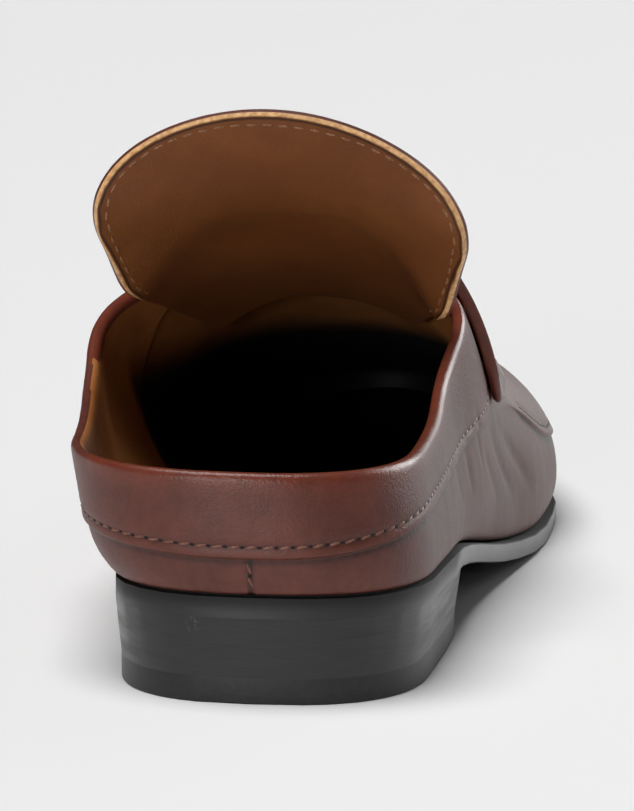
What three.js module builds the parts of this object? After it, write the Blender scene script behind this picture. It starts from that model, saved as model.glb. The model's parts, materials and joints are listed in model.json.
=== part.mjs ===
// A slip-on leather mule for the right foot: a low closed back with a folded collar band, a tall
// rounded tongue, a saddle strap over the instep, a thin sole and a low stacked heel.
// Millimetres, +Z up, +Y towards the toe, +X towards the outer side of the foot. The origin lies on
// the floor under the middle of the heel.

import * as THREE from 'three';
import { mergeVertices } from 'three/addons/utils/BufferGeometryUtils.js';

// Driving sizes
const soleLength = 262;
const ballWidth = 84;
const heelLength = 64;
const seatHeight = 20.6;
const toeSpring = 8;
const outsoleThickness = 4;
const outsoleMargin = 1.6;
const heelMargin = 0.5;
const topPieceThickness = 5;
const heelTaper = 1.2;
const breastHollow = 3;
const backHeight = 23.5;
const instepHeight = 72;
const upperThickness = 2.2;
const collarRound = 0.9;
const bandStep = 0.8;
const apronStep = 0.8;
const bandLip = 0.5;
const insoleThickness = 3;
const strapWidth = 27;
const strapThickness = 2.4;
const strapEndHeight = 38;
const tongueHeight = 103;
const tongueWidth = 77.5;
const tongueThickness = 2.2;
const insoleClearance = 0.6;
const tongueClearance = 1;
const clearance = 0.3;

// Shares of the sole's length, from the back of the heel
const heelCentreAt = 0.118;
const throatAt = 0.42;
const toeCentreAt = 0.84;

// Half widths of the lasted edge as shares of the ball width, before the ends are rounded
const outlineTable = [
  { at: 0.0, outer: 0.37, inner: 0.33 },
  { at: 0.118, outer: 0.385, inner: 0.335 },
  { at: 0.22, outer: 0.4, inner: 0.332 },
  { at: 0.3, outer: 0.402, inner: 0.305 },
  { at: 0.4, outer: 0.422, inner: 0.28 },
  { at: 0.5, outer: 0.465, inner: 0.3 },
  { at: 0.6, outer: 0.505, inner: 0.365 },
  { at: 0.68, outer: 0.51, inner: 0.42 },
  { at: 0.76, outer: 0.475, inner: 0.44 },
  { at: 0.84, outer: 0.405, inner: 0.412 },
  { at: 0.92, outer: 0.33, inner: 0.36 },
  { at: 1.0, outer: 0.27, inner: 0.3 },
];
const heelRoundness = 2.6;
const toeRoundness = 2.15;

// How much of the heel's pitch and of the toe's spring lifts the sole at each place
const liftTable = [
  { at: 0.0, pitch: 1.0, spring: 0 },
  { at: 0.118, pitch: 0.945, spring: 0 },
  { at: 0.24, pitch: 0.86, spring: 0 },
  { at: 0.32, pitch: 0.66, spring: 0 },
  { at: 0.4, pitch: 0.4, spring: 0 },
  { at: 0.48, pitch: 0.17, spring: 0 },
  { at: 0.56, pitch: 0.03, spring: 0 },
  { at: 0.6, pitch: 0, spring: 0 },
  { at: 0.752, pitch: 0, spring: 0 },
  { at: 0.82, pitch: 0, spring: 0.12 },
  { at: 0.9, pitch: 0, spring: 0.45 },
  { at: 1.0, pitch: 0, spring: 1.0 },
];

// The ridge of the last as a share of the instep height, and its sideways shift as one of the ball
// width. Behind the throat it is the line that the strap, the tongue and the collar follow.
const ridgeTable = [
  { at: 0.0, height: 1.5, shift: -0.085 },
  { at: 0.118, height: 1.45, shift: -0.085 },
  { at: 0.255, height: 1.33, shift: -0.085 },
  { at: 0.345, height: 1.17, shift: -0.05 },
  { at: 0.42, height: 1.0, shift: -0.03 },
  { at: 0.5, height: 0.86, shift: -0.03 },
  { at: 0.6, height: 0.72, shift: -0.025 },
  { at: 0.7, height: 0.6, shift: -0.015 },
  { at: 0.78, height: 0.52, shift: -0.005 },
  { at: 0.84, height: 0.46, shift: 0 },
];

// The wall: how far it stands out past the lasted edge as a share of the ball width, how high up it
// is widest as a share of the ridge's height over the sole, and how square the section is
const wallTable = [
  { at: 0.0, outer: 0.01, inner: 0.06, outerRise: 0.15, innerRise: 0.15, square: 2.4 },
  { at: 0.118, outer: 0.005, inner: 0.068, outerRise: 0.15, innerRise: 0.15, square: 2.4 },
  { at: 0.255, outer: 0.012, inner: 0.1, outerRise: 0.3, innerRise: 0.28, square: 2.5 },
  { at: 0.345, outer: 0.036, inner: 0.16, outerRise: 0.34, innerRise: 0.38, square: 2.55 },
  { at: 0.42, outer: 0.022, inner: 0.155, outerRise: 0.33, innerRise: 0.38, square: 2.35 },
  { at: 0.5, outer: 0.012, inner: 0.105, outerRise: 0.29, innerRise: 0.34, square: 2.1 },
  { at: 0.6, outer: 0.02, inner: 0.055, outerRise: 0.25, innerRise: 0.28, square: 2 },
  { at: 0.7, outer: 0.026, inner: 0.03, outerRise: 0.24, innerRise: 0.24, square: 2 },
  { at: 0.84, outer: 0.022, inner: 0.022, outerRise: 0.28, innerRise: 0.28, square: 2 },
];
const backBulge = 0.026;
const backRise = 0.15;
const toeBulge = 0.015;
const toeRise = 0.3;
const footCurve = 3;

// The collar's top edge between the back's height and the ridge
const collarTable = [
  { at: 0.0, outer: 0, inner: 0 },
  { at: 0.118, outer: 0.005, inner: 0.015 },
  { at: 0.17, outer: 0.015, inner: 0.035 },
  { at: 0.255, outer: 0.09, inner: 0.12 },
  { at: 0.3, outer: 0.2, inner: 0.25 },
  { at: 0.345, outer: 0.36, inner: 0.42 },
  { at: 0.385, outer: 0.55, inner: 0.6 },
  { at: 0.405, outer: 0.78, inner: 0.82 },
  { at: 0.415, outer: 0.96, inner: 0.97 },
  { at: 0.42, outer: 1, inner: 1 },
];

// The band's lower edge and, ahead of the strap, the raised apron's, as a share of the wall from the
// sole up to its top
const bandTable = [
  { at: 0.0, outer: 0.315, inner: 0.31 },
  { at: 0.02, outer: 0.395, inner: 0.335 },
  { at: 0.06, outer: 0.475, inner: 0.38 },
  { at: 0.118, outer: 0.54, inner: 0.45 },
  { at: 0.2, outer: 0.565, inner: 0.53 },
  { at: 0.3, outer: 0.535, inner: 0.535 },
  { at: 0.42, outer: 0.5, inner: 0.5 },
  { at: 0.54, outer: 0.52, inner: 0.52 },
  { at: 0.6, outer: 0.44, inner: 0.46 },
  { at: 0.66, outer: 0.38, inner: 0.42 },
  { at: 0.76, outer: 0.42, inner: 0.46 },
  { at: 0.84, outer: 0.52, inner: 0.54 },
  { at: 0.92, outer: 0.68, inner: 0.68 },
  { at: 1.0, outer: 0.8, inner: 0.8 },
];
const bandFadeFrom = 0.4;
const bandFadeTo = 0.46;
const apronFrom = 0.53;
const apronFullAt = 0.57;

// The strap from its ends up to the ridge: the place of its middle, and its width as a share
const strapTable = [
  { at: 0.0, middle: 0.475, width: 1.12 },
  { at: 0.5, middle: 0.44, width: 0.98 },
  { at: 1.0, middle: 0.4, width: 0.95 },
];

// The tongue under the strap, from its end inside the vamp back to the strap's rear edge: its half
// width as a share of its full width
const tuckTable = [
  { at: 0.0, half: 0.28 },
  { at: 0.5, half: 0.35 },
  { at: 1.0, half: 0.41 },
];

// The free tongue from the strap's rear edge to its top: its half width and the height of its arch
// as shares of its full width, and its sideways shift as a share of the ball width
const tongueTable = [
  { at: 0.0, half: 0.41, arch: 0.27, shift: -0.046 },
  { at: 0.2, half: 0.455, arch: 0.21, shift: -0.044 },
  { at: 0.45, half: 0.5, arch: 0.15, shift: -0.043 },
  { at: 0.7, half: 0.505, arch: 0.1, shift: -0.042 },
  { at: 1.0, half: 0.49, arch: 0.07, shift: -0.042 },
];
const tongueRoundFrom = 0.3;
const tongueRoundness = 2;
const tongueTilt = 0.05;
const tongueTuck = 20;
const tongueLean = 37;
const tongueBend = 9;
const strapLineAt = 0.345;

const heelSteps = 10;
const collarSteps = 12;
const vampSteps = 13;
const toeSteps = 18;
const lowerRows = 5;
const upperRows = 7;
const innerRows = 7;
const tuckRows = 7;
const tongueRows = 13;
const tongueColumns = 10;
const strapColumns = 6;
const strapRows = 20;
const plateSteps = 30;

const throatCrowding = 1.7;
const leanFullAt = 0.6;
const slopeStep = 0.02;
const leastTurn = 0.05;
const barEasing = 0.35;
const tongueTurnedBy = 0.5;
const archFullBy = 0.2;
const halvings = 50;
const probe = 0.5;
const smallest = 1e-5;
const quarterTurn = Math.PI / 2;
const barPlaces = [-1, -0.5, 0, 0.5, 1];
const hollowFrom = 0.8;

// Reads one column of a table at any place, with a cubic that never overshoots its rows
function column(table, name) {
  const x = table.map((row) => row.at);
  const y = table.map((row) => row[name]);
  const slopes = x.slice(1).map((value, i) => (y[i + 1] - y[i]) / (value - x[i]));
  const tangents = x.map((value, i) => {
    if (i === 0) return slopes[0];
    if (i === x.length - 1) return slopes[i - 1];
    const [before, after] = [slopes[i - 1], slopes[i]];
    return before * after <= 0 ? 0 : (2 * before * after) / (before + after);
  });
  return (place) => {
    const at = THREE.MathUtils.clamp(place, x[0], x[x.length - 1]);
    let i = 0;
    while (i < x.length - 2 && at > x[i + 1]) i += 1;
    const span = x[i + 1] - x[i];
    const t = (at - x[i]) / span;
    const rise = y[i + 1] - y[i];
    const entry = tangents[i] * span;
    const exit = tangents[i + 1] * span;
    return y[i] + t * (entry + t * (3 * rise - 2 * entry - exit + t * (entry + exit - 2 * rise)));
  };
}

const mix = THREE.MathUtils.lerp;
const fade = THREE.MathUtils.smoothstep;

// Places along the shoe
const backToOrigin = heelLength / 2;
const yAt = (share) => share * soleLength - backToOrigin;
const shareAt = (y) => (y + backToOrigin) / soleLength;

// The sole's heights
const pitchAt = column(liftTable, 'pitch');
const springAt = column(liftTable, 'spring');
const heelPitch = seatHeight - outsoleThickness;
const undersideAt = (share) => heelPitch * pitchAt(share) + toeSpring * springAt(share);
const seatAt = (share) => undersideAt(share) + outsoleThickness;

// The lasted edge, rounded at both ends
const outlineOuter = column(outlineTable, 'outer');
const outlineInner = column(outlineTable, 'inner');

function endRounding(share) {
  const back = Math.min(1, Math.max(0, (heelCentreAt - share) / heelCentreAt));
  const front = Math.min(1, Math.max(0, (share - toeCentreAt) / (1 - toeCentreAt)));
  const atBack = (1 - back ** heelRoundness) ** (1 / heelRoundness);
  const atFront = (1 - front ** toeRoundness) ** (1 / toeRoundness);
  return atBack * atFront;
}

function halfWidth(share, onOuterSide) {
  const table = onOuterSide ? outlineOuter : outlineInner;
  return ballWidth * table(share) * endRounding(share);
}

// How far the lasted edge lies from a point on the centre line, in a given direction
function reach(baseY, direction) {
  let near = 0;
  let far = soleLength;
  for (let i = 0; i < halvings; i += 1) {
    const middle = (near + far) / 2;
    const share = shareAt(baseY + direction.y * middle);
    const inside = share > 0 && share < 1
      && Math.abs(direction.x * middle) < halfWidth(share, direction.x > 0);
    if (inside) near = middle;
    else far = middle;
  }
  return near;
}

// The ridge, the wall, the collar and the band
const ridgeHeight = column(ridgeTable, 'height');
const ridgeShift = column(ridgeTable, 'shift');
const wallOuter = column(wallTable, 'outer');
const wallInner = column(wallTable, 'inner');
const riseOuter = column(wallTable, 'outerRise');
const riseInner = column(wallTable, 'innerRise');
const wallSquare = column(wallTable, 'square');
const collarOuter = column(collarTable, 'outer');
const collarInner = column(collarTable, 'inner');
const bandOuter = column(bandTable, 'outer');
const bandInner = column(bandTable, 'inner');

const ridgeAt = (share) => instepHeight * ridgeHeight(share);
const backTop = seatHeight + backHeight;

// One upright half section of the last. It stands on the centre line at a share of the length and
// faces a direction; at the back and at the toe the sections fan out from one centre each.
function section(share, angle) {
  const direction = { x: Math.cos(angle), y: Math.sin(angle) };
  const baseY = yAt(share);
  const edge = reach(baseY, direction);
  const outerShare = (1 + direction.x) / 2;
  const endShare = direction.y ** 2;
  const isToe = direction.y > 0;
  const side = (outer, inner) => mix(inner(share), outer(share), outerShare);
  const bulge = mix(side(wallOuter, wallInner), isToe ? toeBulge : backBulge, endShare);
  const rise = mix(side(riseOuter, riseInner), isToe ? toeRise : backRise, endShare);
  const footShare = shareAt(baseY + direction.y * edge);
  const foot = seatAt(footShare);
  const ridge = ridgeAt(share);
  const widest = foot + rise * (ridge - seatAt(share));
  const closed = share >= throatAt - smallest;
  const top = closed ? ridge : mix(backTop, ridge, side(collarOuter, collarInner));
  const bandPart = mix(bandInner(footShare), bandOuter(footShare), outerShare);
  const bandEdge = foot + bandPart * (top - foot);
  const band = bandStep * (1 - fade(share, bandFadeFrom, bandFadeTo));
  const step = band + apronStep * fade(share, apronFrom, apronFullAt);
  const slope = isToe ? (ridge - ridgeAt(share - slopeStep)) / (slopeStep * soleLength) : 0;
  return {
    share, direction, baseY, edge, foot, ridge, widest, top, bandEdge, step, slope, closed,
    reachOut: edge + bulge * ballWidth,
    lean: ridgeShift(share) * ballWidth,
    square: wallSquare(share),
  };
}

// A point of the section at a height, moved in from the outer face by a distance
function wallPoint(one, height, inset) {
  const span = one.ridge - one.widest;
  const upper = THREE.MathUtils.clamp((height - one.widest) / span, 0, 1);
  const lower = THREE.MathUtils.clamp((height - one.foot) / (one.widest - one.foot), 0, 1);
  const belly = mix(one.edge, one.reachOut, 1 - (1 - lower) ** footCurve) - inset;
  const closing = (1 - upper ** one.square) ** (1 / one.square);
  const out = belly * closing;
  const tilt = one.slope * out * one.direction.y * upper;
  const lean = one.lean * fade(height, one.foot, mix(one.foot, one.ridge, leanFullAt));
  return new THREE.Vector3(
    one.direction.x * out + lean,
    one.baseY + one.direction.y * out,
    height + tilt - inset * upper,
  );
}

// Collects the faces of one closed body
class Skin {
  constructor() {
    this.corners = [];
  }

  triangle(a, b, c) {
    const flat = a.distanceTo(b) < smallest || b.distanceTo(c) < smallest || c.distanceTo(a) < smallest;
    if (!flat) this.corners.push(a, b, c);
  }

  quad(a, b, c, d) {
    this.triangle(a, b, c);
    this.triangle(a, c, d);
  }

  // Joins two lines of as many points each. Seen from outside, with the lines running up, the second
  // lies to the right of the first.
  strip(first, second) {
    for (let i = 0; i + 1 < first.length; i += 1) {
      this.quad(first[i], second[i], second[i + 1], first[i + 1]);
    }
  }

  geometry() {
    const shape = new THREE.BufferGeometry();
    const numbers = this.corners.flatMap((corner) => [corner.x, corner.y, corner.z]);
    shape.setAttribute('position', new THREE.Float32BufferAttribute(numbers, 3));
    const merged = mergeVertices(shape, 1e-4);
    merged.computeVertexNormals();
    return merged;
  }
}

// The upright sections in order round the shoe, from the middle of the back by the outer side
function sectionsRound() {
  const list = [];
  const sideShares = [];
  for (let i = 0; i < collarSteps; i += 1) {
    sideShares.push(mix(heelCentreAt, throatAt, 1 - (1 - i / collarSteps) ** throatCrowding));
  }
  for (let i = 0; i <= vampSteps; i += 1) {
    sideShares.push(mix(throatAt, toeCentreAt, i / vampSteps));
  }
  for (let i = 0; i < heelSteps; i += 1) {
    list.push(section(heelCentreAt, -quarterTurn + (quarterTurn * i) / heelSteps));
  }
  sideShares.forEach((share) => list.push(section(share, 0)));
  for (let i = 1; i < toeSteps; i += 1) {
    list.push(section(toeCentreAt, (Math.PI * i) / toeSteps));
  }
  sideShares.slice().reverse().forEach((share) => list.push(section(share, Math.PI)));
  for (let i = 1; i < heelSteps; i += 1) {
    list.push(section(heelCentreAt, -Math.PI + (quarterTurn * i) / heelSteps));
  }
  return list;
}

// Heights from a lower to an upper one; closer together near the ridge where the wall lies flat
function heights(one, from, to, count, includeFirst) {
  const part = (one.top - one.widest) / (one.ridge - one.widest);
  const turn = quarterTurn * THREE.MathUtils.clamp(part, leastTurn, 1);
  const list = [];
  for (let i = includeFirst ? 0 : 1; i <= count; i += 1) {
    list.push(mix(from, to, Math.sin((turn * i) / count) / Math.sin(turn)));
  }
  return list;
}

function upperColumn(one) {
  const foot = one.foot + clearance;
  const outside = [];
  for (let i = 0; i <= lowerRows; i += 1) {
    outside.push(wallPoint(one, mix(foot, one.bandEdge, i / lowerRows), 0));
  }
  const round = one.closed ? 0 : collarRound;
  heights(one, one.bandEdge + bandLip, one.top - round, upperRows, true).forEach((height) => {
    outside.push(wallPoint(one, height, -one.step));
  });
  outside.push(wallPoint(one, one.top, round - one.step));
  const inside = [wallPoint(one, foot, upperThickness)];
  heights(one, foot, one.top - round, innerRows, false).forEach((height) => {
    inside.push(wallPoint(one, height, upperThickness));
  });
  inside.push(wallPoint(one, one.top, upperThickness - round));
  return { outside, inside, closed: one.closed };
}

function upperGeometry() {
  const skin = new Skin();
  const columns = sectionsRound().map(upperColumn);
  columns.forEach((now, i) => {
    const next = columns[(i + 1) % columns.length];
    skin.strip(now.outside, next.outside);
    skin.strip(next.inside, now.inside);
    skin.quad(now.inside[0], next.inside[0], next.outside[0], now.outside[0]);
    const last = now.outside.length - 1;
    const lastInside = now.inside.length - 1;
    if (!(now.closed && next.closed)) {
      skin.quad(now.outside[last], next.outside[last], next.inside[lastInside], now.inside[lastInside]);
    }
  });
  return skin.geometry();
}

// A plate under the shoe. Cross bars lie at places along it, closer together at its rounded ends.
// Its edge stands a margin outside the lasted edge, and less by the taper at its lower face.
function plateGeometry({ to, roundFront, margin, top, bottom, taper = 0, hollow = 0 }) {
  const skin = new Skin();
  const bar = (step, lower) => {
    const even = step / plateSteps;
    const round = (1 - Math.cos(Math.PI * even)) / 2;
    const t = roundFront ? round : mix(1 - Math.cos(quarterTurn * even), even, barEasing);
    const share = to * t;
    const out = margin(share) - (lower ? taper : 0);
    const start = yAt(0) - (margin(0) - (lower ? taper : 0));
    const finish = yAt(to) + (roundFront ? out : 0);
    return barPlaces.map((side) => {
      const half = halfWidth(share, side > 0) + out * endRounding(share);
      const dent = hollow * (1 - side * side) * fade(t, hollowFrom, 1);
      const height = lower ? bottom(share) : top(share);
      return new THREE.Vector3(side * Math.max(0, half), mix(start, finish, t) - dent, height);
    });
  };
  const last = barPlaces.length - 1;
  for (let i = 0; i < plateSteps; i += 1) {
    const [upper, nextUpper] = [bar(i, false), bar(i + 1, false)];
    const [lower, nextLower] = [bar(i, true), bar(i + 1, true)];
    skin.strip(nextUpper, upper);
    skin.strip(lower, nextLower);
    skin.quad(lower[last], nextLower[last], nextUpper[last], upper[last]);
    skin.quad(nextLower[0], lower[0], upper[0], nextUpper[0]);
  }
  skin.strip(bar(plateSteps, true), bar(plateSteps, false));
  return skin.geometry();
}

const soleMargin = (share) => mix(heelMargin, outsoleMargin, fade(share, heelCentreAt, throatAt));
const breastAt = heelLength / soleLength;

function outsoleGeometry() {
  return plateGeometry({
    to: 1, roundFront: true, margin: soleMargin, top: seatAt, bottom: undersideAt,
  });
}

function insoleGeometry() {
  return plateGeometry({
    to: 1,
    roundFront: true,
    margin: () => -upperThickness - insoleClearance,
    top: (share) => seatAt(share) + clearance + insoleThickness,
    bottom: (share) => seatAt(share) + clearance,
  });
}

function heelGeometry() {
  return plateGeometry({
    to: breastAt,
    roundFront: false,
    margin: () => heelMargin,
    top: (share) => undersideAt(share) - clearance,
    bottom: () => topPieceThickness + clearance,
    taper: heelTaper,
    hollow: breastHollow,
  });
}

function topPieceGeometry() {
  return plateGeometry({
    to: breastAt,
    roundFront: false,
    margin: () => heelMargin - heelTaper,
    top: () => topPieceThickness,
    bottom: () => 0,
    hollow: breastHollow,
  });
}

// The strap lies over the ridge, a clearance outside the upper's face and the band's end
const strapMiddle = column(strapTable, 'middle');
const strapSpread = column(strapTable, 'width');

function strapPoint(side, around, across, inset) {
  const half = (strapWidth * strapSpread(around)) / 2 / soleLength;
  const share = strapMiddle(around) + across * half;
  const one = section(share, side > 0 ? 0 : Math.PI);
  const height = mix(strapEndHeight, one.ridge, Math.sin(quarterTurn * around));
  return wallPoint(one, height, inset - one.step);
}

function strapGeometry() {
  const skin = new Skin();
  const under = -clearance;
  const over = -clearance - strapThickness;
  const rail = (step, inset) => {
    const turn = (2 * step) / strapRows - 1;
    const points = [];
    for (let i = 0; i <= strapColumns; i += 1) {
      const across = (2 * i) / strapColumns - 1;
      points.push(strapPoint(-turn, 1 - Math.abs(turn), across, inset));
    }
    return points;
  };
  const last = strapColumns;
  for (let i = 0; i < strapRows; i += 1) {
    const [upper, nextUpper] = [rail(i, over), rail(i + 1, over)];
    const [lower, nextLower] = [rail(i, under), rail(i + 1, under)];
    skin.strip(nextUpper, upper);
    skin.strip(lower, nextLower);
    skin.quad(lower[0], upper[0], nextUpper[0], nextLower[0]);
    skin.quad(upper[last], lower[last], nextLower[last], nextUpper[last]);
  }
  skin.strip(rail(0, over), rail(0, under));
  skin.strip(rail(strapRows, under), rail(strapRows, over));
  return skin.geometry();
}

// How far the underside of the upper's roof has come down at a distance from the middle
const roofDepth = upperThickness + tongueClearance;

function roofDrop(share, x) {
  const one = section(share, x > 0 ? 0 : Math.PI);
  const part = Math.min(1, Math.abs(x) / (one.reachOut - roofDepth));
  const fall = 1 - (1 - part ** one.square) ** (1 / one.square);
  return (one.ridge - one.widest - roofDepth) * fall;
}

// The tongue lies under the roof as far back as the strap, and then bends up and stands free
const tuckHalf = column(tuckTable, 'half');
const tongueHalf = column(tongueTable, 'half');
const tongueArch = column(tongueTable, 'arch');
const tongueShift = column(tongueTable, 'shift');
const tuckAt = throatAt + tongueTuck / soleLength;
const rootY = yAt(strapLineAt);
const rootZ = ridgeAt(strapLineAt) - roofDepth;
const rootSlope = (ridgeAt(strapLineAt) - ridgeAt(throatAt)) / (yAt(throatAt) - rootY);
const freeLine = new THREE.QuadraticBezierCurve(
  new THREE.Vector2(rootY, rootZ),
  new THREE.Vector2(rootY - tongueBend, rootZ + tongueBend * rootSlope),
  new THREE.Vector2(yAt(throatAt) - tongueLean, tongueHeight),
);

function tuckedRow(t) {
  const share = mix(tuckAt, strapLineAt, t);
  return {
    half: tongueWidth * tuckHalf(t),
    shift: ballWidth * ridgeShift(share),
    middle: new THREE.Vector2(yAt(share), ridgeAt(share) - roofDepth),
    normal: new THREE.Vector2(0, 1),
    drop: (x) => roofDrop(share, x),
    tilt: 0,
  };
}

const archDrop = (t, x) => tongueWidth * tongueArch(t) * (2 * x / tongueWidth) ** 2;

function freeRow(t) {
  const run = freeLine.getTangent(t);
  const beyond = Math.max(0, (t - tongueRoundFrom) / (1 - tongueRoundFrom));
  const rounding = (1 - beyond ** tongueRoundness) ** (1 / tongueRoundness);
  const turned = fade(t, 0, tongueTurnedBy);
  return {
    half: tongueWidth * tongueHalf(t) * rounding,
    shift: ballWidth * tongueShift(t),
    middle: freeLine.getPoint(t),
    normal: new THREE.Vector2(mix(0, run.y, turned), mix(1, -run.x, turned)).normalize(),
    drop: (x) => mix(roofDrop(strapLineAt, x), archDrop(t, x), fade(t, 0, archFullBy)),
    tilt: tongueTilt * turned,
  };
}

function tonguePoint(row, across, depth) {
  const x = across * row.half;
  const steepness = (row.drop(x + probe) - row.drop(x - probe)) / (2 * probe);
  const thick = depth / Math.hypot(1, steepness);
  const along = row.drop(x) + thick;
  return new THREE.Vector3(
    x + row.shift - steepness * thick,
    row.middle.x - row.normal.x * along,
    row.middle.y - row.normal.y * along - row.tilt * x,
  );
}

function tongueGeometry() {
  const skin = new Skin();
  const rows = [];
  for (let i = 0; i < tuckRows; i += 1) rows.push(tuckedRow(i / tuckRows));
  for (let i = 0; i <= tongueRows; i += 1) rows.push(freeRow(Math.sin((quarterTurn * i) / tongueRows)));
  const line = (row, depth) => {
    const points = [];
    for (let i = 0; i <= tongueColumns; i += 1) {
      points.push(tonguePoint(row, (2 * i) / tongueColumns - 1, depth));
    }
    return points;
  };
  const fronts = rows.map((row) => line(row, 0));
  const backs = rows.map((row) => line(row, tongueThickness));
  const last = tongueColumns;
  for (let i = 0; i + 1 < rows.length; i += 1) {
    const [front, nextFront, back, nextBack] = [fronts[i], fronts[i + 1], backs[i], backs[i + 1]];
    skin.strip(front, nextFront);
    skin.strip(nextBack, back);
    skin.quad(front[0], back[0], nextBack[0], nextFront[0]);
    skin.quad(back[last], front[last], nextFront[last], nextBack[last]);
  }
  skin.strip(backs[0], fronts[0]);
  return skin.geometry();
}

const leather = new THREE.MeshStandardMaterial({ color: 0x5a3a31, roughness: 0.42 });
const lining = new THREE.MeshStandardMaterial({ color: 0x8a5a2c, roughness: 0.6 });
const black = new THREE.MeshStandardMaterial({ color: 0x1c1c1f, roughness: 0.45 });

const shoe = new THREE.Group();

function add(name, geometry, material) {
  const mesh = new THREE.Mesh(geometry, material);
  mesh.name = name;
  shoe.add(mesh);
}

add('upper', upperGeometry(), leather);
add('outsole', outsoleGeometry(), black);
add('insole', insoleGeometry(), black);
add('strap', strapGeometry(), leather);
add('tongue', tongueGeometry(), lining);
add('heel_stack', heelGeometry(), black);
add('heel_top_piece', topPieceGeometry(), black);

export default shoe;
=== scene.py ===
# Looks of a slip-on leather mule, worked up round its solids.
# Metres, +Z up, +Y towards the toe, +X towards the outer side of the foot.

import json
import math

import bpy
from mathutils import Euler, Matrix, Vector
from mathutils.bvhtree import BVHTree
from mathutils.kdtree import KDTree

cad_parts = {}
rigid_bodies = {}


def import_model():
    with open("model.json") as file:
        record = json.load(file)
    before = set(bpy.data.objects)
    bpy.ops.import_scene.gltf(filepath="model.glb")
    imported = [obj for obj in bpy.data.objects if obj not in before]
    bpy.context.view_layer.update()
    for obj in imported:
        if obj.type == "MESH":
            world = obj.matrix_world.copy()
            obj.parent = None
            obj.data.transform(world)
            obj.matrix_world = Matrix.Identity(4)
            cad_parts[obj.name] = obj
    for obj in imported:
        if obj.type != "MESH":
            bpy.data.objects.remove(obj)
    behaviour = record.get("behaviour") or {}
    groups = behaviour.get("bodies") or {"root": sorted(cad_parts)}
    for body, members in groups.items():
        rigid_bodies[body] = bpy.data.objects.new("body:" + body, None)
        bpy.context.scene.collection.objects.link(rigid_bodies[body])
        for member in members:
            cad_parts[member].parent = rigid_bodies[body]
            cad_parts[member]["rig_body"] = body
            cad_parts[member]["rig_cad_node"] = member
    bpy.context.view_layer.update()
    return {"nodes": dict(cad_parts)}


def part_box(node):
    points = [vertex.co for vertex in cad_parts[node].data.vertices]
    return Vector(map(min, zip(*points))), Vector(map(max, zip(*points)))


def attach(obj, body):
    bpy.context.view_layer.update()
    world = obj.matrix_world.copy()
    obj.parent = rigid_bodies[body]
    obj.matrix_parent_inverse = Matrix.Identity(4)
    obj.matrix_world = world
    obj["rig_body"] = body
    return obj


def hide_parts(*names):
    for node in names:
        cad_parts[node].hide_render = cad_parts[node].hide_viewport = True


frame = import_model()

MM = 0.001

# Places along the shoe
HEEL_CENTRE_Y = -1 * MM
THROAT_Y = 78 * MM
TOE_CENTRE_Y = 188 * MM

# Stitching
STITCH_PITCH = 3.1 * MM
STITCH_SIZE = (2.3 * MM, 0.62 * MM, 0.5 * MM)
HOLE_SIZE = (1.1 * MM, 0.9 * MM, 0.3 * MM)
BAND_STITCH_RISE = 2.2 * MM
APRON_STITCH_RISE = 1.6 * MM
TONGUE_STITCH_INSET = 2.4 * MM

# The heel block: how far it reaches past its solid at top and bottom to close the hairlines, how far
# it laps over the sole's side, and how near that side has to be for the block to come out to it
GAP_FILL = 0.31 * MM
HEEL_LAP = 0.03 * MM
HEEL_REACH = 1.5 * MM
HEEL_BREAST_DEPTH = 3 * MM

# The rim is high on the wall, behind the throat, and the wall under it is deep
RIM_LEAST_HEIGHT = 15 * MM
RIM_LEAST_DEPTH = 4.5 * MM
RIM_WIDTH = 2.6 * MM

# The steps of the band and the apron keep clear of the sole and of the rim
STEP_LEAST_HEIGHT = 3.5 * MM
STEP_FROM_RIM = 4 * MM

# A face of a sheet's border as large as this belongs to its front or back
BORDER_FACE_AREA = 12e-6

# A place off every axis of a bead, so that no two of its faces are equally far from it
SORTING_POINT = (3.7, 2.1, 1.3)

# Places along a traced line
TRACE_GAP = 1 * MM

# Where the seams, and the painted shade deep inside the vamp, begin and end
RIM_START = Vector((-38 * MM, 78 * MM, 60 * MM))
BAND_END_Y = 76 * MM
APRON_START_Y = 108 * MM
APRON_START = Vector((-45 * MM, 108 * MM, 25 * MM))
INTERIOR_SHADE_Y = 62 * MM
INTERIOR_SHADE_Z = 50 * MM
INTERIOR_SHADE_SLANT = 0.85
TONGUE_FREE_Y = 64 * MM
TONGUE_START = Vector((-30 * MM, 70 * MM, 55 * MM))
TONGUE_JOIN = (56 * MM, 62 * MM)
BACK_SEAM_SHIFT = -1.3 * MM

# Finishes as sRGB colours, 0 to 1
BROWN = (0.4, 0.21, 0.17)
BROWN_DEEP = (0.32, 0.155, 0.12)
# The brown of painted shade, in seams, under steps, along the sole and in the tongue's groove
SHADE_BROWN = (0.09, 0.04, 0.03)
BROWN_WORN = (0.45, 0.21, 0.145)
TAN = (0.52, 0.3, 0.13)
LINING_LIGHT = (0.74, 0.48, 0.25)
LINING_DEEP = (0.62, 0.37, 0.17)
TAN_DEEP = (0.46, 0.255, 0.105)
RAW_LIGHT = (0.9, 0.71, 0.49)
RAW_DEEP = (0.74, 0.54, 0.34)
# Near black: painted shade deep inside the vamp
VAMP_INTERIOR_SHADE = (0.035, 0.02, 0.014)
STITCH_BEIGE = (0.66, 0.46, 0.32)
STITCH_BROWN = (0.54, 0.33, 0.26)
STITCH_DARK = (0.22, 0.12, 0.1)
BLACK = (0.075, 0.075, 0.09)
BLACK_DEEP = (0.035, 0.035, 0.042)


# Choosing and editing

def only(piece):
    """Selects one piece alone and makes it active."""
    bpy.ops.object.select_all(action="DESELECT")
    piece.select_set(True)
    bpy.context.view_layer.objects.active = piece


def edit(piece, *steps):
    """Runs edit-mode steps, in face mode, on what is selected."""
    only(piece)
    bpy.ops.object.mode_set(mode="EDIT")
    bpy.ops.mesh.select_mode(type="FACE")
    for step in steps:
        step()
    bpy.ops.object.mode_set(mode="OBJECT")


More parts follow.
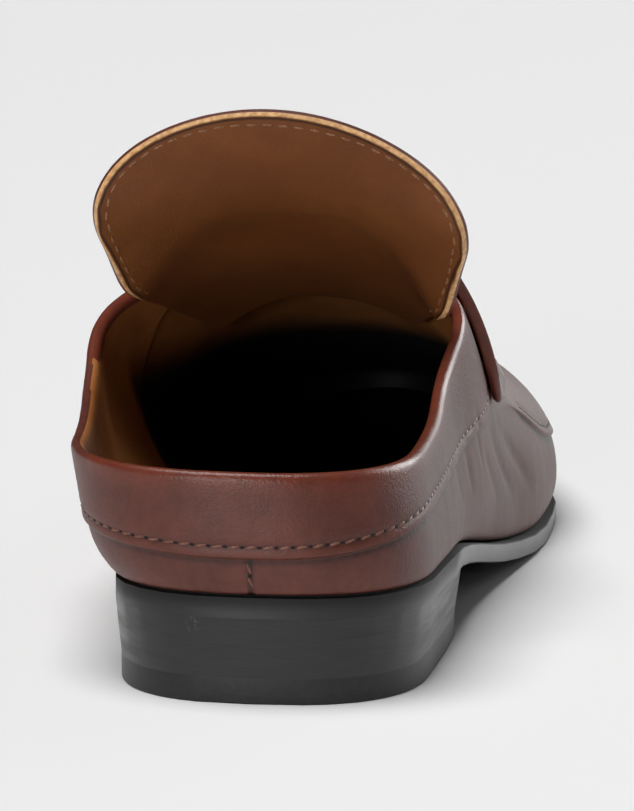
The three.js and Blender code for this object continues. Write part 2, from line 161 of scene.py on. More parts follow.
def choose_faces(piece, wanted):
    """Selects the faces that a test on a face picks out."""
    mesh = piece.data
    mesh.vertices.foreach_set("select", [False] * len(mesh.vertices))
    mesh.edges.foreach_set("select", [False] * len(mesh.edges))
    mesh.polygons.foreach_set("select", [wanted(face) for face in mesh.polygons])


def copy_of(node, name):
    """A copy of a node's solid with its corners merged and its triangles paired into quads."""
    only(frame["nodes"][node])
    bpy.ops.object.duplicate()
    piece = bpy.context.active_object
    piece.name = name
    piece.data.name = name
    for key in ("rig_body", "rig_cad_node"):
        del piece[key]
    bpy.ops.object.parent_clear(type="CLEAR_KEEP_TRANSFORM")
    if piece.data.has_custom_normals:
        bpy.ops.mesh.customdata_custom_splitnormals_clear()
    piece.data.materials.clear()
    edit(
        piece,
        lambda: bpy.ops.mesh.select_all(action="SELECT"),
        lambda: bpy.ops.mesh.remove_doubles(threshold=0.01 * MM),
        lambda: bpy.ops.mesh.tris_convert_to_quads(
            face_threshold=math.radians(60), shape_threshold=math.radians(60)
        ),
        lambda: bpy.ops.mesh.select_all(action="DESELECT"),
    )
    return piece


def modify(piece, kind, **settings):
    """Adds a modifier and applies it."""
    only(piece)
    modifier = piece.modifiers.new(kind.title(), kind)
    for name, value in settings.items():
        setattr(modifier, name, value)
    bpy.ops.object.modifier_apply(modifier=modifier.name)


def round_off(piece, levels, kind="CATMULL_CLARK"):
    """Rounds a piece off by subdivision, or only divides it finer."""
    modify(piece, "SUBSURF", levels=levels, render_levels=levels, subdivision_type=kind)


def harden(piece, wanted, amount):
    """Keeps the border of the chosen faces crisp when the piece is rounded off."""
    choose_faces(piece, wanted)
    edit(
        piece,
        lambda: bpy.ops.mesh.region_to_loop(),
        lambda: bpy.ops.transform.edge_crease(value=amount),
    )


def move_points(piece, shift):
    """Moves each point of a piece by what a function of the point says."""
    places = [point.co + shift(point) for point in piece.data.vertices]
    for point, place in zip(piece.data.vertices, places):
        point.co = place
    piece.data.update()


def paint(piece, name, value_at):
    """Gives each point of a piece a value that its material reads."""
    values = [value_at(point) for point in piece.data.vertices]
    piece.data.attributes.new(name, "FLOAT", "POINT").data.foreach_set("value", values)


def shade(piece, degrees=40):
    """Shades a piece smooth but for its sharp edges."""
    only(piece)
    bpy.ops.object.shade_smooth_by_angle(angle=math.radians(degrees))


def fit_out(piece, material, slot, *nodes):
    """Gives a piece its material, its body and the solids that it stands for."""
    piece.data.materials.clear()
    piece.data.materials.append(material)
    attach(piece, "root")
    if nodes:
        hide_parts(*nodes)


# Measuring

def surface_of(piece, wanted=lambda face: True):
    """A search tree over the chosen faces of a piece."""
    points = [point.co.copy() for point in piece.data.vertices]
    faces = [list(face.vertices) for face in piece.data.polygons if wanted(face)]
    return BVHTree.FromPolygons(points, faces)


def dense(points, gap):
    """The points of a line, with more between them so that none are further apart than a gap."""
    line = [points[0]]
    for first, second in zip(points, points[1:]):
        steps = max(1, math.ceil((second - first).length / gap))
        line.extend(first.lerp(second, step / steps) for step in range(1, steps + 1))
    return line


def spaced(points, pitch):
    """Points on a line at one pitch."""
    line = dense(points, pitch / 20)
    marks = [line[0]]
    travelled = 0.0
    for first, second in zip(line, line[1:]):
        travelled += (second - first).length
        if travelled >= pitch:
            marks.append(second)
            travelled = 0.0
    return marks


def finder(points):
    """A function that gives how far a place is from the nearest of many points."""
    tree = KDTree(len(points))
    for index, point in enumerate(points):
        tree.insert(point, index)
    tree.balance()
    return lambda place: tree.find(place)[2]


def bell(distance, width):
    """1 at no distance, fading to nothing over about twice the width."""
    return math.exp(-((distance / width) ** 2))


def ease(value, low, high):
    """0 below a range, 1 above it, and eased between."""
    part = min(1.0, max(0.0, (value - low) / (high - low)))
    return part * part * (3 - 2 * part)


def in_order(places, start):
    """Places as one line, each followed by the nearest one left."""
    left = list(places)
    line = [min(left, key=lambda place: (place - start).length)]
    left.remove(line[0])
    while left:
        after = min(left, key=lambda place: (place - line[-1]).length)
        left.remove(after)
        line.append(after)
    return line


def faces_by_edge(mesh):
    """The faces on either side of each edge."""
    beside = {}
    for face in mesh.polygons:
        for key in face.edge_keys:
            beside.setdefault(key, []).append(face)
    return beside


def ledges(piece, degrees):
    """The numbers of the faces that lie between two sharp edges, as a cut edge or a step does."""
    mesh = piece.data
    beside = faces_by_edge(mesh)
    found = set()
    for face in mesh.polygons:
        sharp = 0
        for key in face.edge_keys:
            pair = beside[key]
            if len(pair) == 2 and pair[0].normal.angle(pair[1].normal, 0) > math.radians(degrees):
                sharp += 1
        if sharp >= 2:
            found.add(face.index)
    return found


def sheet_sides(piece, cut, facing):
    """Each face of a sheet as 0 on its front, 1 on its back, or None on its cut edge."""
    mesh = piece.data
    beside = faces_by_edge(mesh)

    def next_to(face):
        return [other for key in face.edge_keys for other in beside[key] if other is not face]

    side = {}
    for seed in mesh.polygons:
        if seed.index in cut or seed.index in side:
            continue
        patch, waiting = [], [seed]
        side[seed.index] = None
        while waiting:
            face = waiting.pop()
            patch.append(face)
            for other in next_to(face):
                if other.index not in cut and other.index not in side:
                    side[other.index] = None
                    waiting.append(other)
        way = sum((face.normal * face.area for face in patch), Vector()).dot(facing)
        for face in patch:
            side[face.index] = 0 if way > 0 else 1
    for face in mesh.polygons:
        if face.index in cut:
            near = {side.get(other.index) for other in next_to(face)} - {None}
            side[face.index] = near.pop() if len(near) == 1 and face.area > BORDER_FACE_AREA else None
    return side


def sole_heights():
    """The outsole's upper face as pairs of a place along the shoe and a height."""
    tops = {}
    for point in frame["nodes"]["outsole"].data.vertices:
        key = round(point.co.y, 4)
        tops[key] = max(tops.get(key, -1.0), point.co.z)
    return sorted(tops.items())


SOLE_TOPS = sole_heights()


def over_sole(place):
    """How far a place lies above the sole's upper face."""
    below = SOLE_TOPS[0]
    for row in SOLE_TOPS:
        if row[0] >= place.y:
            span = max(1e-6, row[0] - below[0])
            part = min(1.0, max(0.0, (place.y - below[0]) / span))
            return place.z - (below[1] + part * (row[1] - below[1]))
        below = row
    return place.z - SOLE_TOPS[-1][1]


# Materials

def linear(colour):
    """An sRGB colour as linear light with alpha."""
    def one(value):
        return value / 12.92 if value <= 0.04045 else ((value + 0.055) / 1.055) ** 2.4
    return tuple(one(value) for value in colour) + (1.0,)


class Wire:
    """One output of a material's nodes. Arithmetic on it adds Math nodes."""

    def __init__(self, tree, socket):
        self.tree = tree
        self.socket = socket

    def node(self, kind, settings=None, inputs=None, output=0):
        """Adds a node: its settings first, then the values or wires of its sockets."""
        made = self.tree.nodes.new(kind)
        for name, value in (settings or {}).items():
            setattr(made, name, value)
        for name, value in (inputs or {}).items():
            if isinstance(value, Wire):
                self.tree.links.new(value.socket, made.inputs[name])
            else:
                made.inputs[name].default_value = value
        return Wire(self.tree, made.outputs[output])

    def maths(self, operation, first, second=0.0):
        return self.node("ShaderNodeMath", {"operation": operation}, {0: first, 1: second})

    def __add__(self, other):
        return self.maths("ADD", self, other)

    def __radd__(self, other):
        return self.maths("ADD", other, self)

    def __sub__(self, other):
        return self.maths("SUBTRACT", self, other)

    def __rsub__(self, other):
        return self.maths("SUBTRACT", other, self)

    def __mul__(self, other):
        return self.maths("MULTIPLY", self, other)

    def __rmul__(self, other):
        return self.maths("MULTIPLY", other, self)

    def spread(self, low, high, to_low=0.0, to_high=1.0):
        """This value mapped from one range to another, clamped and eased."""
        return self.node(
            "ShaderNodeMapRange",
            {"interpolation_type": "SMOOTHSTEP"},
            {"Value": self, "From Min": low, "From Max": high, "To Min": to_low, "To Max": to_high},
        )

    def blend(self, first, second):
        """A colour between two colours, by this value."""
        return self.node(
            "ShaderNodeMix",
            {"data_type": "RGBA"},
            {"Factor": self, 6: first, 7: second},
            output=2,
        )


class Finish:
    """A material being built: its shader, and wires that start its patterns."""

    def __init__(self, name):
        self.material = bpy.data.materials.new(name)
        self.material.use_nodes = True
        self.tree = self.material.node_tree
        self.shader = self.tree.nodes["Principled BSDF"]
        start = self.tree.nodes.new("ShaderNodeTexCoord")
        self.place = Wire(self.tree, start.outputs["Object"])

    def attribute(self, name):
        """A value that the piece's own points carry."""
        return self.place.node("ShaderNodeAttribute", {"attribute_name": name}, output="Fac")

    def stretched(self, scale):
        """Object coordinates with each axis scaled."""
        return self.place.node("ShaderNodeMapping", None, {"Vector": self.place, "Scale": scale})

    def noise(self, scale, detail=3.0, roughness=0.5, vector=None):
        return self.place.node(
            "ShaderNodeTexNoise",
            None,
            {"Vector": vector or self.place, "Scale": scale, "Detail": detail, "Roughness": roughness},
        )

    def cells(self, scale, vector=None):
        inputs = {"Vector": vector or self.place, "Scale": scale}
        return self.place.node("ShaderNodeTexVoronoi", None, inputs)

    def spot(self, middle, radius):
        """1 inside a ball round a place, fading out at its edge."""
        distance = self.place.node(
            "ShaderNodeVectorMath", {"operation": "DISTANCE"}, {0: self.place, 1: middle}, output="Value"
        )
        return distance.spread(radius * 0.4, radius, 1.0, 0.0)

    def bump(self, height, distance, strength=1.0, under=None):
        """A bump of a height in metres, over another one if given."""
        inputs = {"Height": height, "Distance": distance, "Strength": strength}
        if under is not None:
            inputs["Normal"] = under
        return self.place.node("ShaderNodeBump", None, inputs)

    def set(self, **sockets):
        """Sets or links the shader's sockets; an underscore stands for a space."""
        for name, value in sockets.items():
            socket = self.shader.inputs[name.replace("_", " ")]
            if isinstance(value, Wire):
                self.tree.links.new(value.socket, socket)
            else:
                socket.default_value = value
        return self.material


def leather_grain(finish):
    """The bump of fine calf grain over soft unevenness."""
    pebbles = finish.cells(2300).spread(0.0, 0.7)
    pores = finish.noise(1500, 2).spread(0.35, 0.7)
    soft = finish.noise(110, 3)
    low = finish.bump(soft, 0.3 * MM, 0.35)
    return finish.bump(pebbles * 0.55 + pores * 0.45, 0.08 * MM, 0.6, low)


def brown_leather():
    """Satin brown leather, redder and lighter where it is worn, with painted shade in its seams, under
    its steps and along the sole.
    """
    finish = Finish("brown_leather")
    streaks = finish.noise(190, 4, 0.6, finish.stretched((1.0, 1.0, 0.28)))
    speckle = finish.noise(420, 3, 0.6)
    mottle = (finish.noise(50, 5, 0.6) * 0.55 + speckle * 0.3 + streaks * 0.15).spread(0.36, 0.64)
    colour = mottle.blend(linear(BROWN_DEEP), linear(BROWN))
    rub = finish.noise(300, 4, 0.6).spread(0.3, 0.65, 0.45, 1.0)
    colour = (finish.attribute("worn") * rub).blend(colour, linear(BROWN_WORN))
    # Painted shade where the dark value is high: in seams, under steps and along the sole
    colour = finish.attribute("dark").blend(colour, linear(SHADE_BROWN))
    return finish.set(
        Base_Color=colour,
        Roughness=finish.attribute("worn").spread(0.0, 1.0, 0.46, 0.3) + (streaks * 0.16 - 0.08),
        Normal=leather_grain(finish),
        Specular_IOR_Level=0.38,
    )


def tan_lining():
    """Smooth tan lining leather, with near-black painted shade low inside the vamp, ahead of a slanted
    line.
    """
    finish = Finish("tan_lining")
    mottle = finish.noise(45, 4, 0.6).spread(0.3, 0.7)
    colour = mottle.blend(linear(LINING_DEEP), linear(LINING_LIGHT))
    # Near-black painted shade low on the inner wall, ahead of a slanted line, for the deep shade inside
    # the vamp
    colour = finish.attribute("vamp").blend(colour, linear(VAMP_INTERIOR_SHADE))
    grain = finish.noise(700, 3).spread(0.3, 0.7)
    return finish.set(Base_Color=colour, Roughness=0.6, Normal=finish.bump(grain, 0.04 * MM, 0.5))


def tongue_leather():
    """Brown leather in front, tan lining behind, the two layers' cut edges between them, and a line of
    painted shade on the back inside the free edge.
    """
    finish = Finish("tongue_leather")
    depth = finish.attribute("depth")
    inset = finish.attribute("inset")
    mottle = finish.noise(55, 5, 0.6).spread(0.3, 0.72)
    brown = mottle.blend(linear(BROWN_DEEP), linear(BROWN))
    tan = mottle.blend(linear(TAN_DEEP), linear(TAN))
    raw = finish.noise(900, 3).spread(0.3, 0.7).blend(linear(RAW_DEEP), linear(RAW_LIGHT))
    free = finish.attribute("free")
    raw = free.blend(tan, raw)
    # A line of painted shade on the back, just inside the free edge
    groove_shade = inset.spread(0.35, 0.7) * inset.spread(0.8, 1.3, 1.0, 0.0) * free
    tan = (groove_shade * 0.75).blend(tan, linear(SHADE_BROWN))
    back = inset.spread(0.15, 0.5).blend(raw, tan)
    colour = depth.spread(0.42, 0.5).blend(brown, depth.spread(0.97, 0.99).blend(raw, back))
    return finish.set(
        Base_Color=colour,
        Roughness=depth.spread(0.4, 0.5, 0.42, 0.6),
        Normal=leather_grain(finish),
        Coat_Weight=0.05,
        Coat_Roughness=0.3,
    )


def black_stack():
    """Black burnished stacked leather with fine level lines and a small scuff."""
    finish = Finish("black_stack")
    level = finish.stretched((0.1, 0.1, 1.0))
    lines = finish.noise(1500, 3, 0.6, level).spread(0.3, 0.7)
    streaks = finish.noise(260, 4, 0.6, level).spread(0.35, 0.7)
    colour = lines.blend(linear(BLACK_DEEP), linear(BLACK))
    scuff = finish.spot((-10.5 * MM, -32.5 * MM, 15 * MM), 2.4 * MM)
    rubbed = finish.noise(1200, 3).spread(0.5, 0.7) * scuff
    colour = (rubbed * 0.5).blend(colour, linear((0.45, 0.4, 0.38)))
    return finish.set(
        Base_Color=colour,
        Roughness=streaks.spread(0.0, 1.0, 0.3, 0.46),
        Normal=finish.bump(lines * 0.6 + streaks * 0.4, 0.06 * MM, 0.5),
        Coat_Weight=0.15,
        Coat_Roughness=0.25,
    )


def black_edge():
    """The dyed black edge and face of the outsole, with a painted grey sheen towards the forepart."""
    finish = Finish("black_edge")
    streaks = finish.noise(60, 4).spread(0.3, 0.7)
    # Painted reflection: grey for the floor's reflection in the glossy black edge, towards the forepart
    forepart_sheen = streaks.blend(linear((0.15, 0.15, 0.155)), linear((0.28, 0.28, 0.29)))
    seat = streaks.blend(linear(BLACK_DEEP), linear(BLACK))
    colour = finish.attribute("forepart_sheen").blend(seat, forepart_sheen)
    # Painted shade on the sole's upper face, which the upper overhangs
    ledge_shade = finish.attribute("ledge_shade")
    colour = ledge_shade.blend(colour, linear(BLACK_DEEP))
    fibre = finish.noise(600, 3, 0.5, finish.stretched((0.3, 0.3, 1.0)))
    return finish.set(
        Base_Color=colour,
        Roughness=ledge_shade.spread(0.0, 1.0, 0.34, 0.9),
        Normal=finish.bump(fibre, 0.05 * MM, 0.5),
        Coat_Weight=0.2,
        Coat_Roughness=0.3,
    )


def black_rubber():
    """Matt black rubber of the top piece."""
    finish = Finish("black_rubber")
    speckle = finish.noise(900, 2).spread(0.3, 0.7)
    colour = speckle.blend(linear(BLACK_DEEP), linear(BLACK))
    return finish.set(Base_Color=colour, Roughness=0.4, Normal=finish.bump(speckle, 0.03 * MM, 0.5))


def black_sock():
    """The soft black sock on the insole."""
    finish = Finish("black_sock")
    mottle = finish.noise(40, 3).spread(0.3, 0.7)
    colour = mottle.blend(linear((0.03, 0.027, 0.026)), linear((0.05, 0.046, 0.045)))
    return finish.set(
        Base_Color=colour,
        Roughness=0.9,
        Normal=finish.bump(finish.noise(800, 3), 0.04 * MM),
        Specular_IOR_Level=0.2,
    )


def waxed_thread(name, colour):
    """Twisted thread."""
    finish = Finish(name)
    twist = finish.noise(2500, 2).spread(0.3, 0.7)
    deep = linear(tuple(0.7 * value for value in colour))
    return finish.set(Base_Color=twist.blend(deep, linear(colour)), Roughness=0.45)


def needle_hole_shade():
    """Painted shade for a stitch hole."""
    finish = Finish("needle_hole_shade")
    return finish.set(
        Base_Color=finish.noise(900, 2).blend(linear((0.03, 0.015, 0.01)), linear((0.06, 0.03, 0.02))),
        Roughness=0.8,
    )


leather = brown_leather()
lining = tan_lining()
tongue_skin = tongue_leather()
stack_black = black_stack()
edge_black = black_edge()
rubber_black = black_rubber()
sock_black = black_sock()
brown_thread = waxed_thread("brown_thread", STITCH_BROWN)
beige_thread = waxed_thread("beige_thread", STITCH_BEIGE)
dark_thread = waxed_thread("dark_thread", STITCH_DARK)
hole_shade = needle_hole_shade()


# Stitches

def bead(size):
    """One small oval, round at its ends."""
    bpy.ops.object.select_all(action="DESELECT")
    bpy.ops.mesh.primitive_uv_sphere_add(segments=8, ring_count=6, radius=0.5)
    piece = bpy.context.active_object

    # A new sphere's faces come in an order that changes from run to run, so they are sorted
    bpy.context.scene.cursor.location = SORTING_POINT
    edit(
        piece,
        lambda: bpy.ops.mesh.select_all(action="SELECT"),
        lambda: bpy.ops.mesh.sort_elements(type="CURSOR_DISTANCE", elements={"VERT", "EDGE", "FACE"}),
        lambda: bpy.ops.mesh.select_all(action="DESELECT"),
    )
    bpy.context.scene.cursor.location = (0, 0, 0)
    piece.data.transform(Matrix.Diagonal((*size, 1.0)))
    return piece


def sew(name, seats, size, slant, sink, material, slot):
    """Copies one bead to each seat, which is a place, a way along and a way out, and joins them."""
    pattern = bead(size)
    copies = []
    for place, along, out in seats:
        across = out.cross(along).normalized()
        turn = Matrix((along, across, out)).transposed() @ Matrix.Rotation(slant, 3, "Z")
        stitch = bpy.data.objects.new(name, pattern.data.copy())
        stitch.data.transform(Matrix.Translation(place - out * sink) @ turn.to_4x4())
        bpy.context.scene.collection.objects.link(stitch)
        copies.append(stitch)
    bpy.data.objects.remove(pattern)
    only(copies[0])
    for stitch in copies:
        stitch.select_set(True)
    bpy.ops.object.join()
    row = bpy.context.active_object
    row.name = name
    shade(row, 80)
    fit_out(row, material, slot)


def stitch_row(name, line, skin, thread, slot, slant=0.0, holes=True):
    """A row of stitches along a line on a surface, with an oval of painted shade for a hole between each
    two.
    """
    marks = spaced(line, STITCH_PITCH / 2)
    seats = []
    for before, mark, after in zip(marks, marks[1:], marks[2:]):
        place, out, _, _ = skin.find_nearest(mark)
        along = (after - before)
        along = (along - out * along.dot(out)).normalized()
        seats.append((place, along, out))
    sew(name, seats[0::2], STITCH_SIZE, slant, 0.06 * MM, thread, slot)
    if holes:
        # Ovals of painted shade stand for the needle holes
        sew(name + "_holes", seats[1::2], HOLE_SIZE, slant, 0.07 * MM, hole_shade, slot)


# The upper: brown leather outside and over the collar, tan lining inside

FOLDS = (
    # start, end, width and depth, in millimetres
    ((37, 62, 33), (35.5, 82, 18), 1.6, 0.5),
    ((38, 74, 34), (38, 96, 17), 1.8, 0.55),
    ((38.5, 88, 33), (41, 112, 16), 2.0, 0.55),
    ((36.5, 55, 44), (35.5, 60, 30), 1.5, 0.4),
    ((35.5, 44, 40), (34.5, 49, 26), 1.6, 0.4),
    ((34.8, 32, 38), (34, 37, 27), 1.5, 0.3),
    ((34.2, 18, 40), (33.8, 24, 30), 1.4, 0.22),
    ((-38, 74, 34), (-30, 92, 17), 1.8, 0.35),
    ((-38, 88, 32), (-29, 108, 16), 2.0, 0.35),
    ((20, 128, 46), (-20, 132, 44), 2.6, 0.35),
    ((26, 138, 36), (-22, 143, 36), 2.6, 0.3),
)


def fold_depth(place):
    """How deep the creases of wear are at a place."""
    depth = 0.0
    for start, end, width, deep in FOLDS:
        first, second = Vector(start) * MM, Vector(end) * MM
        run = second - first
        part = min(1.0, max(0.0, (place - first).dot(run) / run.length_squared))
        distance = (place - first - run * part).length
        depth += deep * MM * bell(distance, width * MM) * (0.35 + 0.65 * math.sin(math.pi * part))
    return depth


def outwardness(face):
    """How squarely a face looks away from the foot: 1 straight out, -1 straight in."""
    centre = face.center
    middle = Vector((-3 * MM, min(max(centre.y, HEEL_CENTRE_Y), TOE_CENTRE_Y), centre.z))
    return face.normal.dot((centre - middle).normalized())


def looks_inward(face):
    """True for a face of the wall that looks towards the foot, the underside of the vamp's roof too."""
    out = outwardness(face)
    roof = face.center.y > THROAT_Y - 10 * MM and face.normal.z < -0.5 and out < 0.2
    return roof or (out <= 0 and abs(face.normal.z) < 0.9)


def make_upper():
    upper = copy_of("upper", "upper_leather")
    skin = surface_of(upper)
    cut = ledges(upper, 24)

    def wall_behind(face):
        """How thick the wall is behind a face."""
        hit = skin.ray_cast(face.center - face.normal * 0.05 * MM, -face.normal)
        return hit[3] if hit[3] is not None else 1.0

    def on_rim(face):
        high = over_sole(face.center) > RIM_LEAST_HEIGHT and face.center.y < THROAT_Y
        return high and face.normal.z > 0.1 and wall_behind(face) > RIM_LEAST_DEPTH

    crest = [face.center.copy() for face in upper.data.polygons if on_rim(face)]
    rim = dense(in_order(crest, RIM_START), TRACE_GAP)
    from_rim = finder(rim)

    def on_step(face):
        clear_of_sole = over_sole(face.center) > STEP_LEAST_HEIGHT
        clear = clear_of_sole and from_rim(face.center) > STEP_FROM_RIM
        facing_down = face.normal.z < -0.2 or face.center.y > APRON_START_Y
        return clear and facing_down and face.index in cut and outwardness(face) > 0

    steps = [face.center.copy() for face in upper.data.polygons if on_step(face)]
    band_steps = [place for place in steps if place.y < BAND_END_Y]
    apron_steps = [place for place in steps if place.y > APRON_START_Y]
    band_edge = dense(in_order(band_steps, RIM_START), TRACE_GAP)
    apron_edge = dense(in_order(apron_steps, APRON_START), TRACE_GAP)
    harden(upper, on_step, 0.9)
    round_off(upper, 2)

    choose_faces(upper, lambda face: looks_inward(face) and from_rim(face.center) > RIM_WIDTH)
    edit(upper, lambda: bpy.ops.mesh.separate(type="SELECTED"))
    inner = next(one for one in bpy.context.selected_objects if one is not upper)
    inner.name = "upper_lining"
    round_off(upper, 1, "SIMPLE")

    outer_skin = surface_of(upper)
    up = Vector((0, 0, 1))
    sewn = [outer_skin.find_nearest(place + up * BAND_STITCH_RISE)[0] for place in band_edge]
    middle = Vector((0, TOE_CENTRE_Y - 40 * MM, 0))
    apron_sewn = []
    for place in apron_edge:
        inward = Vector((middle.x - place.x, min(0.0, middle.y - place.y), 0)).normalized()
        apron_sewn.append(outer_skin.find_nearest(place + (up + inward) * APRON_STITCH_RISE)[0])
    from_seam = finder(sewn)
    from_apron_seam = finder(apron_sewn)
    from_edge = finder(band_edge + apron_edge)
    back = min(band_edge, key=lambda place: place.y) + Vector((BACK_SEAM_SHIFT, 0, 0))

    def back_seam(place):
        """1 on the upright seam below the band at the back."""
        below = ease(back.z + 0.3 * MM - place.z, 0, 0.6 * MM)
        return below * bell(place.x - back.x, 0.5 * MM) if place.y < -25 * MM else 0.0

    def shift(point):
        place, out = point.co, point.normal
        seam = min(from_seam(place), from_apron_seam(place))
        trough = 0.22 * MM * bell(seam, 0.75 * MM)
        trough += 0.35 * MM * back_seam(place)
        trough += fold_depth(place)
        return -out * trough

    move_points(upper, shift)

    def worn(point):
        """Rubbed along the rim and a little along the steps."""
        rim_wear = 0.95 * bell(from_rim(point.co), 3.4 * MM)
        edge_wear = 0.4 * bell(from_edge(point.co), 1.1 * MM)
        return min(1.0, rim_wear + edge_wear)

    def dark(point):
        """Painted shade in the seams, under the steps and where the wall meets the sole."""
        place = point.co
        seams = 0.9 * back_seam(place) + 0.7 * bell(from_seam(place), 0.45 * MM)
        under_step = bell(from_edge(place + up * 0.7 * MM), 0.7 * MM)
        at_sole = 0.8 * ease(1.1 * MM - over_sole(place), 0, 0.8 * MM)
        return min(1.0, seams + under_step + at_sole)

    paint(upper, "worn", worn)
    paint(upper, "dark", dark)
    shade(upper, 50)
    fit_out(upper, leather, "upper_leather", "upper")

    # Painted shade deep inside the vamp: ahead of a slanted line on the inner wall and below 40 to 50 mm
    def deep_interior_shade(point):
        ahead = point.co.y - INTERIOR_SHADE_Y - (INTERIOR_SHADE_Z - point.co.z) * INTERIOR_SHADE_SLANT
        return ease(ahead, -0.3 * MM, 0.6 * MM) * ease(-point.co.z, -50 * MM, -40 * MM)

    paint(inner, "vamp", deep_interior_shade)
    shade(inner, 60)
    fit_out(inner, lining, "upper_leather")
    dressed = surface_of(upper)
    stitch_row("band_stitches", sewn, dressed, brown_thread, "upper_leather", math.radians(10))
    stitch_row("apron_stitches", apron_sewn, dressed, dark_thread, "upper_leather", math.radians(10))
    seam = [Vector((back.x, back.y, back.z - step * 0.5 * MM)) for step in range(1, 15)]
    stitch_row("back_seam_stitches", seam, dressed, brown_thread, "upper_leather", math.radians(25))


# The strap and the tongue

def make_strap():
    strap = copy_of("strap", "saddle_strap")
    cut = ledges(strap, 50)
    sides = surface_of(strap, lambda face: face.index in cut)
    harden(strap, lambda face: face.index in cut, 0.55)
    round_off(strap, 3)
    paint(strap, "worn", lambda point: 0.9 * bell(sides.find_nearest(point.co)[3], 0.45 * MM))
    # The strap gets no painted shade
    paint(strap, "dark", lambda point: 0.0)
    shade(strap, 50)
    fit_out(strap, leather, "strap_leather", "strap")


def make_tongue():
    tongue = copy_of("tongue", "tongue_leather")
    side = sheet_sides(tongue, ledges(tongue, 50), Vector((0, 0.8, 0.6)))
    cut = {index for index, value in side.items() if value is None}
    back = surface_of(tongue, lambda face: side[face.index] == 1)
    edge = surface_of(tongue, lambda face: face.index in cut)
    back_faces = [face for face in tongue.data.polygons if side[face.index] == 1]
    behind = {point for face in back_faces for point in face.vertices}
    border = [face for face in tongue.data.polygons if face.index in cut]
    rim = [face.center.copy() for face in border if face.center.y < TONGUE_FREE_Y]
    paint(tongue, "depth", lambda point: 1.0 if point.index in behind else 0.0)
    harden(tongue, lambda face: face.index in cut, 0.7)
    round_off(tongue, 3)
    paint(tongue, "inset", lambda point: edge.find_nearest(point.co)[3] / MM)
    paint(tongue, "free", lambda point: 1 - ease(point.co.y, *TONGUE_JOIN))
    shade(tongue, 50)
    fit_out(tongue, tongue_skin, "tongue_leather", "tongue")

    outline = in_order(rim, TONGUE_START)
    middle = sum(outline, Vector()) / len(outline)
    line = []
    for place in dense(outline, TRACE_GAP):
        inward = (middle - place).normalized()
        line.append(back.find_nearest(place + inward * TONGUE_STITCH_INSET)[0])
    stitch_row("tongue_stitches", line, surface_of(tongue), beige_thread, "tongue_leather", holes=False)


# The sole

def soften(piece, wanted, width):
    """Rounds the border of the chosen faces."""
    choose_faces(piece, wanted)
    edit(
        piece,
        lambda: bpy.ops.mesh.region_to_loop(),
        lambda: bpy.ops.mesh.bevel(offset=width, segments=3, profile=0.5, clamp_overlap=True),
    )


def make_outsole():
    outsole = copy_of("outsole", "outsole_leather")
    soften(outsole, lambda face: face.normal.z > 0.6 and face.center.y > 26 * MM, 0.5 * MM)
    soften(outsole, lambda face: face.normal.z < -0.6 and face.center.y > 34 * MM, 0.7 * MM)
    # Painted shade on the sole's upper face, under the overhang of the upper
    paint(outsole, "ledge_shade", lambda point: 1.0 if over_sole(point.co) > -0.25 * MM else 0.0)
    # Painted sheen, rising from the seat to the forepart
    paint(outsole, "forepart_sheen", lambda point: ease(point.co.y, 22 * MM, 40 * MM))
    shade(outsole, 35)
    fit_out(outsole, edge_black, "sole_leather", "outsole")


def make_insole():
    insole = copy_of("insole", "insole_sock")
    soften(insole, lambda face: face.normal.z > 0.6, 0.6 * MM)
    shade(insole, 35)
    fit_out(insole, sock_black, "insole_leather", "insole")


def make_heel():
    """The stack, whose top comes out flush with the sole, and the rubber piece under it."""
    stack = copy_of("heel_stack", "heel_block")
    round_off(stack, 1, "SIMPLE")
    low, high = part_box("heel_stack")
    seat_side = surface_of(frame["nodes"]["outsole"], lambda face: abs(face.normal.z) < 0.5)

    def shift(point):
        rise = Vector((0, 0, GAP_FILL * (2 * ease(point.co.z, low.z, high.z) - 1)))
        place, out, _, away = seat_side.find_nearest(point.co + rise)
        near_top = ease(point.co.z, high.z - 4 * MM, high.z - 1 * MM)
        if away > HEEL_REACH or point.co.y > high.y - HEEL_BREAST_DEPTH or near_top == 0:
            return rise
        flat = Vector((out.x, out.y, 0)).normalized()
        return rise + flat * ((place - point.co).dot(flat) + HEEL_LAP) * near_top

    move_points(stack, shift)
    shade(stack, 35)
    fit_out(stack, stack_black, "heel_leather", "heel_stack")

    top_piece = copy_of("heel_top_piece", "heel_top_rubber")
    soften(top_piece, lambda face: face.normal.z < -0.6, 0.5 * MM)
    shade(top_piece, 35)
    fit_out(top_piece, rubber_black, "heel_rubber", "heel_top_piece")


make_upper()
make_strap()
make_tongue()
make_outsole()
make_insole()
make_heel()


# Floor, light and camera

def make_stage():
    bpy.ops.mesh.primitive_plane_add(size=12, location=(0, 1.5, 0))
    floor = bpy.context.active_object
    floor.name = "floor"
    finish = Finish("pale_floor")
    floor.data.materials.append(finish.set(Base_Color=linear((0.97, 0.97, 0.97)), Roughness=0.9))
    world = bpy.data.worlds.new("studio")
    bpy.context.scene.world = world
    world.use_nodes = True
    sky = world.node_tree
    start = sky.nodes.new("ShaderNodeTexCoord")
    ways = sky.nodes.new("ShaderNodeSeparateXYZ")
    sky.links.new(start.outputs["Generated"], ways.inputs[0])
    side = Wire(sky, ways.outputs["X"]).spread(-0.4, 0.8, 0.08, 1.1)
    high = Wire(sky, ways.outputs["Z"]).spread(0.02, 0.45, 0.08, 1.0)
    sky.links.new((side * high).socket, sky.nodes["Background"].inputs["Strength"])
    bpy.context.scene.view_settings.view_transform = "Standard"


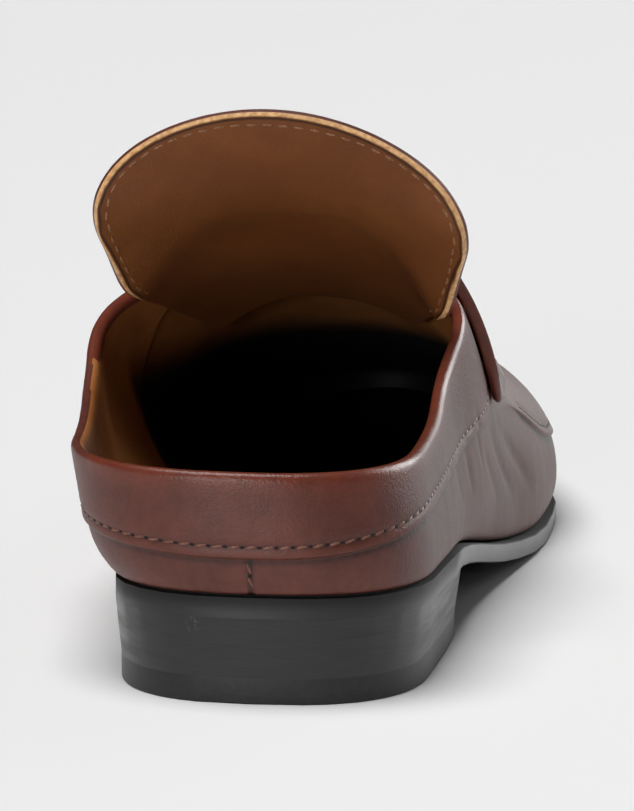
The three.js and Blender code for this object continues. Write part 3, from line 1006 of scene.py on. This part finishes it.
def make_skylight(strength, spread, tilt):
    """Broad even light from above."""
    bpy.ops.object.light_add(type="SUN", location=(0, 0, 2))
    light = bpy.context.active_object
    light.name = "skylight"
    light.data.energy = strength
    light.data.angle = math.radians(spread)
    light.rotation_euler = Euler([math.radians(angle) for angle in tilt])


def make_light(name, size, energy, location, target):
    """A soft box that looks at a place, given back for more settings."""
    bpy.ops.object.light_add(type="AREA", location=location)
    light = bpy.context.active_object
    light.name = name
    light.data.shape = "RECTANGLE"
    light.data.size, light.data.size_y = size
    light.data.energy = energy
    aim = Vector(target) - Vector(location)
    light.rotation_euler = aim.to_track_quat("-Z", "Y").to_euler()
    return light


def make_camera():
    """The photograph's viewpoint, turned and drawn closer to frame the one shoe."""
    photo_width, photo_height = 634, 811
    focal = 2600
    yaw, pitch = math.radians(9.5), math.radians(10.05)
    side, depth, height = 0.0394, 1.0, 0.231
    shoe_middle = (441, 412)
    closer = 2.05
    camera_data = bpy.data.cameras.new("camera")
    camera = bpy.data.objects.new("camera", camera_data)
    bpy.context.scene.collection.objects.link(camera)
    camera_data.sensor_fit = "HORIZONTAL"
    camera_data.sensor_width = 36
    camera_data.lens = focal * closer / photo_width * camera_data.sensor_width
    camera.location = (
        depth * math.sin(yaw) - side * math.cos(yaw),
        -depth * math.cos(yaw) - side * math.sin(yaw),
        height,
    )
    across = math.atan((shoe_middle[0] - photo_width / 2) / focal)
    down = math.atan((shoe_middle[1] - photo_height / 2) / focal)
    turn = Euler((math.pi / 2 - pitch, 0, yaw)).to_matrix()
    turn = turn @ Matrix.Rotation(-across, 3, "Y") @ Matrix.Rotation(-down, 3, "X")
    camera.rotation_euler = turn.to_euler()
    bpy.context.scene.camera = camera


make_stage()
make_skylight(2.75, 40, (10, -10, 0))
make_light("back_light", (0.7, 0.3), 9, (-0.36, -1.75, 0.24), (0, 0.05, 0.06))
gleam = make_light("gleam_light", (1.3, 1.0), 30, (1.15, 1.3, 0.75), (0, 0.08, 0.04))

# This light gives gloss alone, for the grey highlights on the brown leather
gleam.visible_diffuse = False
make_camera()
